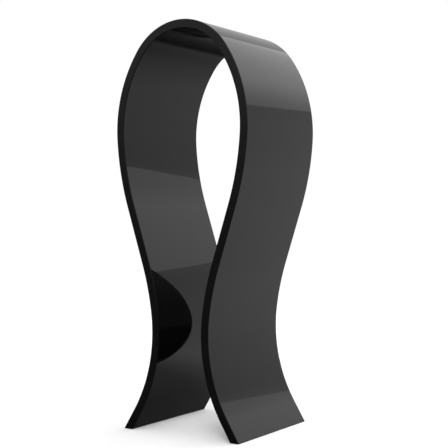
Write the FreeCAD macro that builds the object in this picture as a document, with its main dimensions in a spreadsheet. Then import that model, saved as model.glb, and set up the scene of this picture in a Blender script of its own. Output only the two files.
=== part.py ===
import FreeCAD, Part
import math
import os
import Sketcher

# Headphone stand bent from one strip of gloss black acrylic sheet, in millimetres.
# The strip rises from one foot, narrows to a waist, opens into a rounded head that
# carries the headband, and comes down the same way to the other foot.
#
# Frame: +Z up, +X to the right, the width of the strip along Y.
# The origin is on the ground, midway between the feet and midway across the strip.

# The bend table. A bend's radius is the one on its hollow side, and its angle is how
# far it turns the strip on one side of the stand, in order from the top to the foot.
DIMENSIONS = (
    ("overall_height", 260.0),
    ("sheet_width", 83.0),
    ("sheet_gauge", 5.5),
    ("arris_radius", 0.4),
    ("crown_radius", 35.6),
    ("crown_bend", 54.0),
    ("shoulder_radius", 81.0),
    ("shoulder_bend", 39.9),
    ("flank_radius", 173.0),
    ("flank_bend", 14.2),
    ("leg_straight", 38.5),
    ("shin_radius", 168.0),
    ("shin_bend", 10.7),
    ("flare_radius", 95.6),
    ("flare_bend", 39.0),
)

# The bends that turn the strip down and in, hollow on its inner face, and then the
# ones that turn it out again, hollow on its outer face. The straight is between them.
DOWN_BENDS = ("crown", "shoulder", "flank")
OUT_BENDS = ("shin", "flare")

# Sketcher's numbers for its own axes and for the points of a line or an arc.
HORIZONTAL_AXIS = -1
VERTICAL_AXIS = -2
START = 1
END = 2
CENTRE = 3

# How far an edge may lie from a plane it belongs to, in mm.
POSITION_TOLERANCE = 0.001

# How far the volume may be from developed length times section, and how much of it
# rounding the arrises may take away, both as fractions.
VOLUME_TOLERANCE = 0.0001
LARGEST_ARRIS_LOSS = 0.01


def make_sheet(doc):
    """The spreadsheet of driving dimensions, each cell under its own alias."""
    sheet = doc.addObject("Spreadsheet::Sheet", "Dimensions")
    for row, (alias, value) in enumerate(DIMENSIONS, start=1):
        sheet.set("A%d" % row, alias)
        sheet.set("B%d" % row, str(value))
        sheet.setAlias("B%d" % row, alias)
    doc.recompute()
    return sheet


def origin_plane(body, role):
    """One of the body's own origin planes."""
    for feature in body.Origin.OriginFeatures:
        if feature.Role == role:
            return feature
    raise RuntimeError("no origin plane " + role)


def along(heading):
    """Unit vector along the strip towards the foot; headings are counted below +X."""
    return FreeCAD.Vector(math.cos(heading), -math.sin(heading), 0)


def across(heading):
    """Unit vector square to the strip, pointing out of its outer face."""
    return FreeCAD.Vector(math.sin(heading), math.cos(heading), 0)


def arc_between(centre, radius, first_angle, last_angle):
    """Arc drawn anticlockwise about a centre, angles in radians from +X."""
    circle = Part.Circle(centre, FreeCAD.Vector(0, 0, 1), radius)
    return Part.ArcOfCircle(circle, first_angle, last_angle)


def face_lines(sheet, depth):
    """One face of the strip, top to ground, at a depth in mm below the outer face."""
    heading = 0.0
    place = FreeCAD.Vector(0, sheet.overall_height - depth, 0)
    lines = []
    for bend in DOWN_BENDS:
        radius = getattr(sheet, bend + "_radius") + sheet.sheet_gauge - depth
        turned = heading + math.radians(getattr(sheet, bend + "_bend"))
        centre = place - across(heading) * radius
        lines.append(arc_between(centre, radius, math.pi / 2 - turned, math.pi / 2 - heading))
        place = centre + across(turned) * radius
        heading = turned

    straight_end = place + along(heading) * sheet.leg_straight
    lines.append(Part.LineSegment(place, straight_end))
    place = straight_end

    for bend in OUT_BENDS:
        radius = getattr(sheet, bend + "_radius") + depth
        turned = heading - math.radians(getattr(sheet, bend + "_bend"))
        centre = place + across(heading) * radius
        lines.append(arc_between(centre, radius, 1.5 * math.pi - heading, 1.5 * math.pi - turned))
        place = centre - across(turned) * radius
        heading = turned

    to_ground = place.y / math.sin(heading)
    lines.append(Part.LineSegment(place, place + along(heading) * to_ground))
    return lines


def join_face(sketch, face):
    """Make one face smooth from end to end and hold its two ends on the axes.

    The bends that turn the strip down are drawn from their lower end, and every other
    line from its upper end.
    """
    downward = len(DOWN_BENDS)
    for place, (upper, lower) in enumerate(zip(face, face[1:]), start=1):
        leaves = START if place <= downward else END
        enters = END if place < downward else START
        sketch.addConstraint(Sketcher.Constraint("Tangent", upper, leaves, lower, enters))
    sketch.addConstraint(Sketcher.Constraint("PointOnObject", face[0], END, VERTICAL_AXIS))
    sketch.addConstraint(Sketcher.Constraint("PointOnObject", face[-1], END, HORIZONTAL_AXIS))


def pair_faces(sketch, inner, outer):
    """Keep the inner face beside the outer one: same centres, parallel straights."""
    for inside, outside in zip(inner, outer):
        if isinstance(sketch.Geometry[inside], Part.LineSegment):
            sketch.addConstraint(Sketcher.Constraint("Parallel", inside, outside))
        else:
            same_centre = Sketcher.Constraint("Coincident", inside, CENTRE, outside, CENTRE)
            sketch.addConstraint(same_centre)
    sketch.addConstraint(Sketcher.Constraint("PointOnObject", outer[0], CENTRE, VERTICAL_AXIS))


def close_end(sketch, inside, outside):
    """Straight line across the gauge of the strip, between the ends of its two faces."""
    line = Part.LineSegment(sketch.getPoint(inside, END), sketch.getPoint(outside, END))
    cap = sketch.addGeometry(line, False)
    sketch.addConstraint(Sketcher.Constraint("Coincident", cap, START, inside, END))
    sketch.addConstraint(Sketcher.Constraint("Coincident", cap, END, outside, END))


def bind(sketch, alias, unit, constraint):
    """Add a dimension to the sketch and drive it from the spreadsheet."""
    index = sketch.addConstraint(constraint)
    sketch.renameConstraint(index, alias)
    sketch.setExpression("Constraints." + alias, "Dimensions.%s * 1 %s" % (alias, unit))


def bind_dimensions(sketch, sheet, inner, outer):
    """Drive the outline from the bend table."""
    apex = Sketcher.Constraint(
        "DistanceY", HORIZONTAL_AXIS, START, outer[0], END, sheet.overall_height)
    bind(sketch, "overall_height", "mm", apex)
    gauge = Sketcher.Constraint("DistanceY", inner[0], END, outer[0], END, sheet.sheet_gauge)
    bind(sketch, "sheet_gauge", "mm", gauge)
    straight = len(DOWN_BENDS)
    length = Sketcher.Constraint("Distance", inner[straight], sheet.leg_straight)
    bind(sketch, "leg_straight", "mm", length)

    hollow_sides = list(zip(DOWN_BENDS, inner)) + list(zip(OUT_BENDS, outer[straight + 1:]))
    for bend, arc in hollow_sides:
        radius = getattr(sheet, bend + "_radius")
        bind(sketch, bend + "_radius", "mm", Sketcher.Constraint("Radius", arc, radius))
        angle = math.radians(getattr(sheet, bend + "_bend"))
        bind(sketch, bend + "_bend", "deg", Sketcher.Constraint("Angle", arc, angle))


def half_outline(body, sheet):
    """Sketch of the right half of the strip seen from the front, cut on the middle line."""
    sketch = body.newObject("Sketcher::SketchObject", "half_outline")
    sketch.AttachmentSupport = [(origin_plane(body, "XZ_Plane"), "")]
    sketch.MapMode = "FlatFace"
    inner = sketch.addGeometry(face_lines(sheet, sheet.sheet_gauge), False)
    outer = sketch.addGeometry(face_lines(sheet, 0.0), False)
    join_face(sketch, inner)
    join_face(sketch, outer)
    pair_faces(sketch, inner, outer)
    close_end(sketch, inner[0], outer[0])
    close_end(sketch, inner[-1], outer[-1])
    bind_dimensions(sketch, sheet, inner, outer)
    return sketch


def sharp_edges(shape):
    """Names of the edges to round: those round the two cut sides and under the feet."""
    names = []
    for number, edge in enumerate(shape.Edges, start=1):
        on_a_cut_side = edge.BoundBox.YLength < POSITION_TOLERANCE
        under_a_foot = edge.BoundBox.ZMax < POSITION_TOLERANCE
        if on_a_cut_side or under_a_foot:
            names.append("Edge%d" % number)
    return names


def make_bent_sheet(doc, sheet):
    """The whole stand: half the strip padded, mirrored, and its arrises rounded."""
    body = doc.addObject("PartDesign::Body", "bent_sheet")
    body.Label = "bent_sheet"
    outline = half_outline(body, sheet)

    half = body.newObject("PartDesign::Pad", "right_half")
    half.Profile = outline
    half.SideType = "Symmetric"
    half.setExpression("Length", "Dimensions.sheet_width")
    doc.recompute()

    whole = body.newObject("PartDesign::Mirrored", "both_halves")
    whole.Originals = [half]
    whole.MirrorPlane = (origin_plane(body, "YZ_Plane"), [""])
    whole.Refine = True
    body.Tip = whole
    doc.recompute()

    rounded = body.newObject("PartDesign::Fillet", "rounded_arrises")
    rounded.Base = (whole, sharp_edges(whole.Shape))
    rounded.setExpression("Radius", "Dimensions.arris_radius")
    body.Tip = rounded
    body.Placement = FreeCAD.Placement()
    doc.recompute()
    return body


def check_document(doc):
    """Stop if any object of the document failed to recompute."""
    for feature in doc.Objects:
        if "Invalid" in feature.State or "Error" in feature.State:
            raise RuntimeError("%s failed: %s" % (feature.Name, feature.State))
    if not doc.half_outline.FullyConstrained:
        raise RuntimeError("the outline can still move")


def check_strip(doc, sheet, body):
    """Stop unless the solid is sound and holds as much sheet as its developed length."""
    shape = body.Shape
    if shape.isNull() or not shape.isValid() or len(shape.Solids) != 1:
        raise RuntimeError("the strip is not one valid solid")
    middle = face_lines(sheet, sheet.sheet_gauge / 2)
    developed = 2 * sum(line.length() for line in middle)
    square_cut = developed * sheet.sheet_gauge * sheet.sheet_width
    if abs(doc.both_halves.Shape.Volume / square_cut - 1) > VOLUME_TOLERANCE:
        raise RuntimeError("the strip is not its developed length times its section")
    rounded_off = 1 - shape.Volume / square_cut
    if not 0 < rounded_off < LARGEST_ARRIS_LOSS:
        raise RuntimeError("the arrises were not rounded")
    print("developed length %.1f mm, volume %.1f ml" % (developed, shape.Volume / 1000))


def write_parts(bodies):
    """Write each piece of the stand to a STEP file named after it."""
    os.makedirs("parts", exist_ok=True)
    for body in bodies:
        body.Shape.exportStep("parts/%s.step" % body.Label)


doc = FreeCAD.newDocument("headphone_stand")
sheet = make_sheet(doc)
strip = make_bent_sheet(doc, sheet)
doc.recompute()
check_document(doc)
check_strip(doc, sheet, strip)
write_parts([strip])
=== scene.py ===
import math
from collections import namedtuple

import bpy
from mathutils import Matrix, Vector


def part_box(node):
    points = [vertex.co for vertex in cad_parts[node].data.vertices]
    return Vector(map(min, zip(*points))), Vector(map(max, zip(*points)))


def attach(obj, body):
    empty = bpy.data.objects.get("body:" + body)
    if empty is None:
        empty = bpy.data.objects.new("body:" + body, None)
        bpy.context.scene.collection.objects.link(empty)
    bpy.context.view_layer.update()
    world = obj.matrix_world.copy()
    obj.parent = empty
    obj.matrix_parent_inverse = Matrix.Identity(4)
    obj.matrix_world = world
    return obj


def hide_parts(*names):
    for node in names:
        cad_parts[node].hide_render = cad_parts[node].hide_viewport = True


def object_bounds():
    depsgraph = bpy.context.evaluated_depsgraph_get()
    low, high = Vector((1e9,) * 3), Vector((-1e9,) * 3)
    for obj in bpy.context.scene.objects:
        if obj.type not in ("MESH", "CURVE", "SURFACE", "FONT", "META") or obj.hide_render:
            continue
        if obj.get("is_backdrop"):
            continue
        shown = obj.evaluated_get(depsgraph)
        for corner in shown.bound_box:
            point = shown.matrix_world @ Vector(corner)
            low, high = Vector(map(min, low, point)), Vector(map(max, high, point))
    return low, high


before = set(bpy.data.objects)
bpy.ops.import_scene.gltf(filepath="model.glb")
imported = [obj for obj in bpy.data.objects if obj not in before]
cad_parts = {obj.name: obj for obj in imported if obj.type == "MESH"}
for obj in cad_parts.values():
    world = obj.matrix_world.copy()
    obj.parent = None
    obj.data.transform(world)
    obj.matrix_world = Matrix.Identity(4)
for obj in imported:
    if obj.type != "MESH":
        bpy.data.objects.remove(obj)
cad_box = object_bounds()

# A headphone stand bent from one strip of gloss black acrylic, in metres, in the frame
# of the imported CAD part: +Z up, the width of the strip along Y, the front towards -Y.

MM = 0.001

# ------------------------------------------------------------------ sizes of the strip

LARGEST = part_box("bent_sheet")[1]
HALF_SPREAD = LARGEST.x
HALF_WIDTH = LARGEST.y
HEIGHT = LARGEST.z
GAUGE = 5.5 * MM
ARRIS = 0.4 * MM

# The bend table, from the top down: (radius on the hollow side, angle in degrees).
# The first bends turn the strip down and in, and the later ones turn it out again.
DOWN_BENDS = ((35.6 * MM, 54.0), (81.0 * MM, 39.9), (173.0 * MM, 14.2))
LEG_STRAIGHT = 38.5 * MM
OUT_BENDS = ((168.0 * MM, 10.7), (95.6 * MM, 39.0))

# How finely the mesh follows them, and how near two corners are when they are one.
STEP_ALONG = 1.5 * MM
STEP_ACROSS = 3.5 * MM
CORNER_STEPS = 5
SAME_PLACE = 0.001 * MM

# ------------------------------------------------------------- the outline, from the front

# A point of the outline: its place and normal in (x, z), how far along the strip it is
# from the top, how far outwards it is from the middle of the gauge, and whether it is
# on the outer face, the inner face or the sawn foot.
Point = namedtuple("Point", "place normal run depth part")
OUTER, INNER, FOOT = "outer", "inner", "foot"


def across(heading):
    """Unit vector out of the strip's outer face, as (x, z); headings are below +X."""
    return Vector((math.sin(heading), math.cos(heading)))


def along(heading):
    """Unit vector along the strip towards the foot, as (x, z)."""
    return Vector((math.cos(heading), -math.sin(heading)))


def bend(place, heading, run, hollow, degrees, turn):
    """Stations round one bend: turn is 1 for downwards and -1 for outwards."""
    radius = hollow + GAUGE / 2
    centre = place - across(heading) * radius * turn
    swept = math.radians(degrees)
    count = math.ceil(swept * radius / STEP_ALONG)
    for step in range(1, count + 1):
        angle = swept * step / count
        now = heading + turn * angle
        yield centre + across(now) * radius * turn, now, run + radius * angle


def middle_line():
    """Stations (place, heading, run) down the right half as far as the last bend."""
    stations = [(Vector((0.0, HEIGHT - GAUGE / 2)), 0.0, 0.0)]
    for hollow, degrees in DOWN_BENDS:
        stations += bend(*stations[-1], hollow, degrees, 1)
    place, heading, run = stations[-1]
    count = math.ceil(LEG_STRAIGHT / STEP_ALONG)
    for step in range(1, count + 1):
        gone = LEG_STRAIGHT * step / count
        stations.append((place + along(heading) * gone, heading, run + gone))
    for hollow, degrees in OUT_BENDS:
        stations += bend(*stations[-1], hollow, degrees, -1)
    return stations


def face(stations, part, side):
    """One face of the right half, down to where its foot corner begins."""
    depth = side * GAUGE / 2
    found = []
    for middle, heading, run in stations:
        normal = across(heading)
        found.append(Point(middle + normal * depth, normal * side, run, depth, part))
    start = found[-1]
    middle, heading, run = stations[-1]
    end_height = ARRIS * (1 + side * math.cos(heading))
    length = (start.place.y - end_height) / math.sin(heading)
    count = math.ceil(middle.y / math.sin(heading) / STEP_ALONG)
    for step in range(1, count + 1):
        gone = length * step / count
        place = start.place + along(heading) * gone
        found.append(start._replace(place=place, run=run + gone))
    return found


def corner(upper, first, last, side):
    """The rounded corner between a face and the ground, from heading first to last."""
    centre = upper.place - upper.normal * ARRIS
    for step in range(CORNER_STEPS + 1):
        normal = across(first + (last - first) * step / CORNER_STEPS) * side
        yield upper._replace(place=centre + normal * ARRIS, normal=normal, part=FOOT)


def right_half():
    """The right half's outline: outer face, toe, heel and inner face back to the top."""
    stations = middle_line()
    heading = stations[-1][1]
    outer = face(stations, OUTER, 1)
    inner = face(stations, INNER, -1)
    toe = list(corner(outer[-1], heading, math.pi, 1))[1:]
    heel = list(corner(inner[-1], 0.0, heading, -1))[:-1]
    return outer + toe + heel + inner[::-1]


def mirrored(point):
    """The same point of the left half."""
    place = Vector((-point.place.x, point.place.y))
    normal = Vector((-point.normal.x, point.normal.y))
    return point._replace(place=place, normal=normal, run=-point.run)


def whole_outline():
    """The closed outline, without a second copy of its two points on the middle line."""
    right = right_half()
    return right + [mirrored(point) for point in reversed(right[1:-1])]


# ---------------------------------------------------------------------------- the mesh

# A ring is the outline at one place across the strip: its y, how far it is drawn in
# from the full outline, and the angle that its normals lean towards +Y.
Ring = namedtuple("Ring", "y inset lean")

# The strip's material slots, in the order that its materials are added.
GLOSS, CUT = 0, 1


def rings():
    """Rings from the front cut side to the back one."""
    flat = HALF_WIDTH - ARRIS
    front = []
    for step in range(CORNER_STEPS + 1):
        lean = math.radians(90) * (1 - step / CORNER_STEPS)
        y = -flat - ARRIS * math.sin(lean)
        front.append(Ring(y, ARRIS * (1 - math.cos(lean)), -lean))
    back = [Ring(-ring.y, ring.inset, -ring.lean) for ring in reversed(front)]
    count = math.ceil(2 * flat / STEP_ACROSS)
    between = [Ring(-flat + 2 * flat * step / count, 0.0, 0.0) for step in range(1, count)]
    return front + between + back


class StripMesh:
    """The vertices, normals, flat places and faces of the strip as they are gathered."""

    def __init__(self, outline):
        self.outline = outline
        self.count = len(outline)
        self.vertices = []
        self.normals = []
        self.flat_places = []
        self.faces = []
        self.slots = []

    def add_ring(self, ring):
        """Vertices of one ring. Points that the inset brings together share a vertex."""
        indices = []
        for point in self.outline:
            place = point.place - point.normal * ring.inset
            vertex = Vector((place.x, ring.y, place.y))
            if indices and (self.vertices[-1] - vertex).length < SAME_PLACE:
                indices.append(indices[-1])
                continue
            upright = math.cos(ring.lean)
            facing = point.normal * upright
            indices.append(len(self.vertices))
            self.vertices.append(vertex)
            self.normals.append(Vector((facing.x, math.sin(ring.lean), facing.y)))
            self.flat_places.append((point.run, ring.y, point.depth))
        return indices

    def add_face(self, corners, slot):
        """One face, with any corner that came twice left out."""
        kept = list(dict.fromkeys(corners))
        if len(kept) > 2:
            self.faces.append(kept)
            self.slots.append(slot)

    def add_band(self, before, after, glossy):
        """Faces between two rings: gloss on the two broad faces, cut everywhere else."""
        for here in range(self.count):
            there = (here + 1) % self.count
            ends = {self.outline[here].part, self.outline[there].part}
            slot = GLOSS if glossy and FOOT not in ends else CUT
            corners = (before[here], before[there], after[there], after[here])
            self.add_face(corners, slot)

    def add_side(self, ring, front):
        """The flat cut side: a row of faces from the outer face to the inner one."""
        outer = [i for i, point in zip(ring, self.outline) if point.part == OUTER]
        inner = [i for i, point in zip(ring, self.outline) if point.part == INNER]
        half = len(inner) // 2
        outer = outer[half + 1:] + outer[:half + 1]
        inner = inner[::-1]
        for place in range(len(outer) - 1):
            corners = (outer[place], outer[place + 1], inner[place + 1], inner[place])
            self.add_face(corners[::-1] if front else corners, CUT)


def make_strip():
    """The whole bent strip as one closed mesh that carries its own exact normals."""
    gathered = StripMesh(whole_outline())
    placed = rings()
    indices = [gathered.add_ring(ring) for ring in placed]
    for before, after, first, second in zip(placed, placed[1:], indices, indices[1:]):
        gathered.add_band(first, second, before.inset == after.inset)
    gathered.add_side(indices[0], True)
    gathered.add_side(indices[-1], False)

    mesh = bpy.data.meshes.new("bent_strip")
    mesh.from_pydata(gathered.vertices, [], gathered.faces)
    mesh.polygons.foreach_set("material_index", gathered.slots)
    mesh.polygons.foreach_set("use_smooth", [True] * len(gathered.faces))
    places = mesh.attributes.new("flat_place", "FLOAT_VECTOR", "POINT")
    coordinates = [value for place in gathered.flat_places for value in place]
    places.data.foreach_set("vector", coordinates)
    mesh.update()
    mesh.normals_split_custom_set_from_vertices(gathered.normals)
    strip = bpy.data.objects.new("bent_strip", mesh)
    bpy.context.scene.collection.objects.link(strip)
    return strip


# --------------------------------------------------------------------------- materials

# The Mix node's sockets for colours, which share their names with its other sockets.
MIX_FIRST, MIX_SECOND, MIX_RESULT = 6, 7, 2

DEEP_BLACK = (0.0011, 0.0011, 0.0012, 1)
DUST_GREY = (0.060, 0.058, 0.054, 1)
CUT_DARK = (0.0005, 0.0005, 0.0006, 1)
CUT_WORN = (0.0013, 0.0013, 0.0012, 1)

# The refractive index of acrylic.
ACRYLIC_IOR = 1.49


def add(tree, kind, inputs=None, **settings):
    """A new node with its settings, its inputs set to values or linked from sockets."""
    made = tree.nodes.new(kind)
    for name, value in settings.items():
        setattr(made, name, value)
    for name, value in (inputs or {}).items():
        if isinstance(value, bpy.types.NodeSocket):
            tree.links.new(value, made.inputs[name])
        else:
            made.inputs[name].default_value = value
    return made


def calc(tree, operation, first, second=0.0, third=0.0):
    """The result of one Math node."""
    inputs = {0: first, 1: second, 2: third}
    return add(tree, "ShaderNodeMath", inputs, operation=operation).outputs[0]


def fade(tree, value, start, end, low=0.0, high=1.0):
    """A smooth change from low to high while a value goes from start to end."""
    inputs = {"Value": value, "From Min": start, "From Max": end, "To Min": low, "To Max": high}
    made = add(tree, "ShaderNodeMapRange", inputs, interpolation_type="SMOOTHSTEP")
    return made.outputs["Result"]


def mix(tree, factor, first, second):
    """The first colour where the factor is 0 and the second one where it is 1."""
    inputs = {"Factor": factor, MIX_FIRST: first, MIX_SECOND: second}
    return add(tree, "ShaderNodeMix", inputs, data_type="RGBA").outputs[MIX_RESULT]


def noise(tree, place, size, detail=1.0):
    """Noise from 0 to 1 whose lumps are about a size across."""
    inputs = {"Vector": place, "Scale": 1.0 / size, "Detail": detail, "Roughness": 0.5}
    return add(tree, "ShaderNodeTexNoise", inputs).outputs["Fac"]


def turned(tree, place, degrees, stretch):
    """A place turned in the plane of the sheet and shrunk along the new X."""
    inputs = {"Vector": place, "Rotation": (0, 0, math.radians(degrees)), "Scale": (stretch, 1, 1)}
    return add(tree, "ShaderNodeMapping", inputs).outputs["Vector"]


def hairlines(tree, place):
    """Sparse hairline scratches from wiping, in two directions: 1 on a scratch."""
    lines = []
    for degrees in (24.0, -51.0):
        streaks = noise(tree, turned(tree, place, degrees, 0.02), 0.35 * MM)
        lines.append(fade(tree, streaks, 0.74, 0.80))
    return calc(tree, "MAXIMUM", *lines)


def dust(tree, place):
    """Sparse specks of dust about a sixth of a millimetre across: 1 on a speck."""
    cells = add(tree, "ShaderNodeTexVoronoi", {"Vector": place, "Scale": 1.0 / (3.2 * MM)})
    chosen = add(tree, "ShaderNodeSeparateColor", {0: cells.outputs["Color"]}).outputs[0]
    speck = fade(tree, cells.outputs["Distance"], 0.018, 0.034, 1.0, 0.0)
    return calc(tree, "MULTIPLY", speck, calc(tree, "GREATER_THAN", chosen, 0.86))


def new_material(name):
    """An empty material, its node tree, and where on the flat sheet a point lies."""
    material = bpy.data.materials.new(name)
    material.use_nodes = True
    tree = material.node_tree
    tree.nodes.clear()
    place = add(tree, "ShaderNodeAttribute", attribute_name="flat_place").outputs["Vector"]
    return material, tree, place


def finish_material(tree, colour, roughness, height):
    """Solid acrylic with a colour, a roughness, and a relief given in metres."""
    bump = add(tree, "ShaderNodeBump", {"Strength": 1.0, "Distance": 1.0, "Height": height})
    inputs = {
        "Base Color": colour,
        "Roughness": roughness,
        "Normal": bump.outputs[0],
        "IOR": ACRYLIC_IOR,
    }
    shader = add(tree, "ShaderNodeBsdfPrincipled", inputs)
    add(tree, "ShaderNodeOutputMaterial", {"Surface": shader.outputs[0]})


def gloss_material():
    """The cast face of the sheet: black, glossy, very slightly uneven from the heat."""
    material, tree, place = new_material("black_acrylic_gloss")
    heat_waves = calc(tree, "MULTIPLY", noise(tree, place, 34 * MM), 0.060 * MM)
    orange_peel = calc(tree, "MULTIPLY", noise(tree, place, 2.6 * MM, 2.0), 0.0016 * MM)
    specks = dust(tree, place)
    lines = hairlines(tree, place)
    smear = fade(tree, noise(tree, place, 21 * MM, 3.0), 0.35, 0.75, 0.028, 0.055)
    roughness = calc(tree, "MULTIPLY_ADD", lines, 0.10, smear)
    roughness = calc(tree, "MULTIPLY_ADD", specks, 0.50, roughness)
    colour = mix(tree, specks, DEEP_BLACK, DUST_GREY)
    finish_material(tree, colour, roughness, calc(tree, "ADD", heat_waves, orange_peel))
    return material


def cut_material():
    """The cut edge: scraped and polished across the gauge, so it keeps fine marks."""
    material, tree, place = new_material("black_acrylic_cut_edge")
    run = add(tree, "ShaderNodeSeparateXYZ", {0: place}).outputs[0]
    uneven = noise(tree, place, 9 * MM, 3.0)
    wander = calc(tree, "MULTIPLY", uneven, 14.0)
    phase = calc(tree, "MULTIPLY_ADD", run, 2 * math.pi / (0.42 * MM), wander)
    marks = calc(tree, "MULTIPLY", calc(tree, "SINE", phase), 0.00022 * MM)
    ripple = calc(tree, "MULTIPLY", noise(tree, place, 5 * MM, 2.0), 0.004 * MM)
    roughness = fade(tree, uneven, 0.30, 0.70, 0.13, 0.20)
    colour = mix(tree, uneven, CUT_DARK, CUT_WORN)
    finish_material(tree, colour, roughness, calc(tree, "ADD", marks, ripple))
    return material


# --------------------------------------------------------------------- studio and stage

# What the gloss reflects of the studio, as (elevation in degrees, brightness): the
# white paper sweep behind the stand, and the darker room in front of it.
BEHIND = (
    (-60, 0.10),
    (-37, 0.20),
    (-26, 0.43),
    (-19, 0.57),
    (-8, 0.64),
    (4, 0.62),
    (13, 0.54),
    (40, 0.80),
)
IN_FRONT = (
    (-30, 0.08),
    (-5, 0.08),
    (3, 0.14),
    (7, 0.36),
    (12, 0.46),
    (40, 0.80),
)

# What the gloss doesn't reflect: the even light from all round, and the lamps' size and
# their distance from the stand in metres.
DOME_LIGHT = 0.855
LAMP_SIZE = 1.2
LAMP_DISTANCE = 2.5

# From how far out, in metres, the table fades into the white background, and where it
# has become part of it.
TABLE_FADES = (0.5, 1.5)

# How far up a softbox its brightness goes on changing, in metres, and how many metres
# sooner it does so for each metre to the left.
SOFTBOX_FADE = 1.05
SOFTBOX_SLANT = 0.45


def by_elevation(tree, rise, stops):
    """Brightness by the upward part of a direction, from stops in degrees."""
    position = calc(tree, "MULTIPLY_ADD", rise, 0.5, 0.5)
    ramp = add(tree, "ShaderNodeValToRGB", {"Fac": position})
    for number, (degrees, brightness) in enumerate(stops):
        where = (math.sin(math.radians(degrees)) + 1) / 2
        elements = ramp.color_ramp.elements
        element = elements[number] if number < 2 else elements.new(where)
        element.position = where
        element.color = (brightness, brightness, brightness, 1)
    return ramp.outputs["Color"]


def dimmed_sideways(tree, light, sideways, rise):
    """Dim the light from far out to the right, and from low down on the left."""
    right = fade(tree, sideways, 0.42, 0.66, 1.04, 0.86)
    left = fade(tree, sideways, -0.12, 0.0, 0.80, 0.0)
    low = fade(tree, rise, -0.18, -0.04, 1.0, 0.0)
    left = calc(tree, "SUBTRACT", 1.0, calc(tree, "MULTIPLY", left, low))
    inputs = {0: light, "Scale": calc(tree, "MULTIPLY", right, left)}
    return add(tree, "ShaderNodeVectorMath", inputs, operation="SCALE").outputs[0]


def make_world():
    """Even dome light, a white background, and the studio for the gloss to reflect."""
    world = bpy.data.worlds.new("studio")
    bpy.context.scene.world = world
    world.use_nodes = True
    tree = world.node_tree
    tree.nodes.clear()
    direction = add(tree, "ShaderNodeTexCoord").outputs["Generated"]
    parts = add(tree, "ShaderNodeSeparateXYZ", {0: direction})
    behind = by_elevation(tree, parts.outputs[2], BEHIND)
    in_front = by_elevation(tree, parts.outputs[2], IN_FRONT)
    behind = dimmed_sideways(tree, behind, parts.outputs[0], parts.outputs[2])
    backwards = fade(tree, parts.outputs[1], -0.35, 0.35)
    studio = mix(tree, backwards, in_front, behind)
    rays = add(tree, "ShaderNodeLightPath").outputs
    white = (1, 1, 1, 1)
    dome = (DOME_LIGHT, DOME_LIGHT, DOME_LIGHT, 1)
    light = mix(tree, rays["Is Glossy Ray"], dome, studio)
    light = mix(tree, rays["Is Camera Ray"], light, white)
    background = add(tree, "ShaderNodeBackground", {"Color": light})
    add(tree, "ShaderNodeOutputWorld", {"Surface": background.outputs[0]})


def make_panel(name, material, size):
    """A flat stage panel in its own XY plane."""
    x, y = size[0] / 2, size[1] / 2
    corners = [(-x, -y, 0), (x, -y, 0), (x, y, 0), (-x, y, 0)]
    mesh = bpy.data.meshes.new(name)
    mesh.from_pydata(corners, [], [(0, 1, 2, 3)])
    mesh.materials.append(material)
    panel = bpy.data.objects.new(name, mesh)
    bpy.context.scene.collection.objects.link(panel)
    panel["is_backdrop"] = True
    return panel


def seen_only_in_gloss(panel):
    """Hide a panel from everything but reflections."""
    panel.visible_camera = False
    panel.visible_diffuse = False
    panel.visible_transmission = False
    panel.visible_volume_scatter = False
    panel.visible_shadow = False


def stage_material(name):
    """An empty stage material, its node tree and the panel's own coordinates."""
    material = bpy.data.materials.new(name)
    material.use_nodes = True
    tree = material.node_tree
    tree.nodes.clear()
    return material, tree, add(tree, "ShaderNodeTexCoord").outputs["Object"]


def make_floor():
    """The pale table, which fades into the white background well behind the stand.

    The gloss sees it only as part of the studio round it.
    """
    material, tree, place = stage_material("pale_floor")
    paper = fade(tree, noise(tree, place, 60 * MM, 4.0), 0.3, 0.7, 0.895, 0.905)
    table = add(tree, "ShaderNodeBsdfDiffuse", {"Color": paper})
    sweep = add(tree, "ShaderNodeEmission", {"Strength": 1.0})
    distance = add(tree, "ShaderNodeVectorMath", {0: place}, operation="LENGTH").outputs["Value"]
    inputs = {"Fac": fade(tree, distance, *TABLE_FADES), 1: table.outputs[0], 2: sweep.outputs[0]}
    shader = add(tree, "ShaderNodeMixShader", inputs)
    add(tree, "ShaderNodeOutputMaterial", {"Surface": shader.outputs[0]})
    floor = make_panel("floor", material, (14.0, 14.0))
    floor.location.z = -0.05 * MM
    floor.visible_glossy = False


def make_contact_shadow():
    """The stand's own shadow on the table, as the gloss sees it."""
    material, tree, place = stage_material("contact_shadow")
    parts = add(tree, "ShaderNodeSeparateXYZ", {0: place})
    sideways = calc(tree, "ABSOLUTE", parts.outputs[0])
    lengthways = calc(tree, "ABSOLUTE", parts.outputs[1])
    out_x = calc(tree, "MAXIMUM", calc(tree, "SUBTRACT", sideways, HALF_SPREAD), 0.0)
    out_y = calc(tree, "MAXIMUM", calc(tree, "SUBTRACT", lengthways, HALF_WIDTH), 0.0)
    squares = calc(tree, "MULTIPLY_ADD", out_x, out_x, calc(tree, "MULTIPLY", out_y, out_y))
    dark = fade(tree, calc(tree, "SQRT", squares), -40 * MM, 85 * MM, 0.68, 0.0)
    clear = add(tree, "ShaderNodeBsdfTransparent")
    black = add(tree, "ShaderNodeEmission", {"Strength": 0.0})
    inputs = {"Fac": dark, 1: clear.outputs[0], 2: black.outputs[0]}
    shader = add(tree, "ShaderNodeMixShader", inputs)
    add(tree, "ShaderNodeOutputMaterial", {"Surface": shader.outputs[0]})
    panel = make_panel("contact_shadow", material, (0.5, 0.5))
    panel.location.z = -0.5 * MM
    seen_only_in_gloss(panel)


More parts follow.
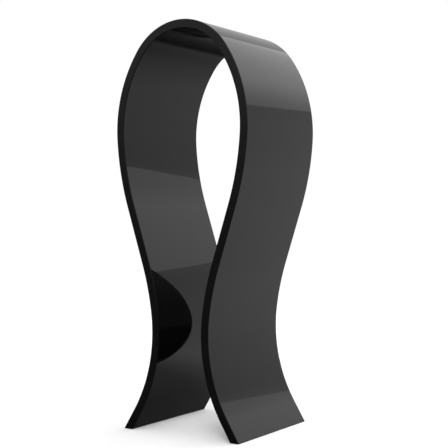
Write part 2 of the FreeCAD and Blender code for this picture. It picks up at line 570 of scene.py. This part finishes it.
def make_softbox(name, azimuth, distance, lower_edge, size, brightness):
    """A big softbox standing upright, azimuth in degrees from +Y towards +X.

    Its brightness goes from the first value at its lower edge to the second one, and
    does so sooner at its left.
    """
    material, tree, place = stage_material(name)
    parts = add(tree, "ShaderNodeSeparateXYZ", {0: place})
    rise = calc(tree, "MULTIPLY_ADD", parts.outputs[0], -SOFTBOX_SLANT, parts.outputs[1])
    bottom = -size[1] / 2
    strength = fade(tree, rise, bottom, bottom + SOFTBOX_FADE, *brightness)
    shader = add(tree, "ShaderNodeEmission", {"Strength": strength})
    add(tree, "ShaderNodeOutputMaterial", {"Surface": shader.outputs[0]})
    panel = make_panel(name, material, size)
    turn = math.radians(azimuth)
    middle = lower_edge + size[1] / 2
    panel.location = (distance * math.sin(turn), distance * math.cos(turn), middle)
    panel.rotation_euler = (math.radians(90), 0, -turn)
    seen_only_in_gloss(panel)


def make_light(name, azimuth, elevation, power):
    """A big soft lamp aimed at the stand, which lights the table but isn't reflected."""
    turn, lift = math.radians(azimuth), math.radians(elevation)
    level = math.cos(lift)
    towards = Vector((math.sin(turn) * level, math.cos(turn) * level, math.sin(lift)))
    data = bpy.data.lights.new(name, "AREA")
    data.size = LAMP_SIZE
    data.energy = power
    lamp = bpy.data.objects.new(name, data)
    lamp.location = towards * LAMP_DISTANCE
    lamp.rotation_mode = "QUATERNION"
    lamp.rotation_quaternion = towards.to_track_quat("Z", "Y")
    lamp.visible_camera = False
    lamp.visible_glossy = False
    bpy.context.scene.collection.objects.link(lamp)


def make_camera():
    """The camera at the viewing angle and framing of a product picture."""
    turn, lift = math.radians(33.04), math.radians(0.48)
    level = math.cos(lift)
    back = Vector((math.sin(turn) * level, -math.cos(turn) * level, math.sin(lift)))
    right = Vector((math.cos(turn), math.sin(turn), 0))
    up = back.cross(right)
    data = bpy.data.cameras.new("camera")
    data.sensor_width = 36.0
    data.lens = 82.47
    data.clip_start = 0.05
    data.clip_end = 50.0
    camera = bpy.data.objects.new("camera", data)
    target = Vector((0, 0, HEIGHT / 2)) + right * 5.15 * MM + up * 2.14 * MM
    camera.location = target + back * 674.3 * MM
    camera.rotation_mode = "QUATERNION"
    camera.rotation_quaternion = (-back).to_track_quat("-Z", "Y")
    bpy.context.scene.collection.objects.link(camera)
    bpy.context.scene.camera = camera


make_camera()

strip = make_strip()
strip.data.materials.append(gloss_material())
strip.data.materials.append(cut_material())
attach(strip, "root")
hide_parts("bent_sheet")

make_world()
make_floor()
make_contact_shadow()
make_softbox("softbox_back_right", 30, 3.27, 1.03, (5.2, 2.6), (0.90, 1.36))
make_softbox("softbox_back_left", -70, 3.3, 1.3, (2.6, 2.4), (0.80, 1.20))
make_softbox("softbox_front", 180, 3.4, 1.5, (4.0, 2.0), (0.80, 1.20))
make_light("lamp_back", 0, 15, 36)
make_light("lamp_back_right", 30, 25, 24)
make_light("lamp_front", 150, 35, 32)

bpy.context.scene.view_settings.view_transform = "Standard"

visual_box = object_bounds()
[[list(corner) for corner in box] for box in (cad_box, visual_box)]
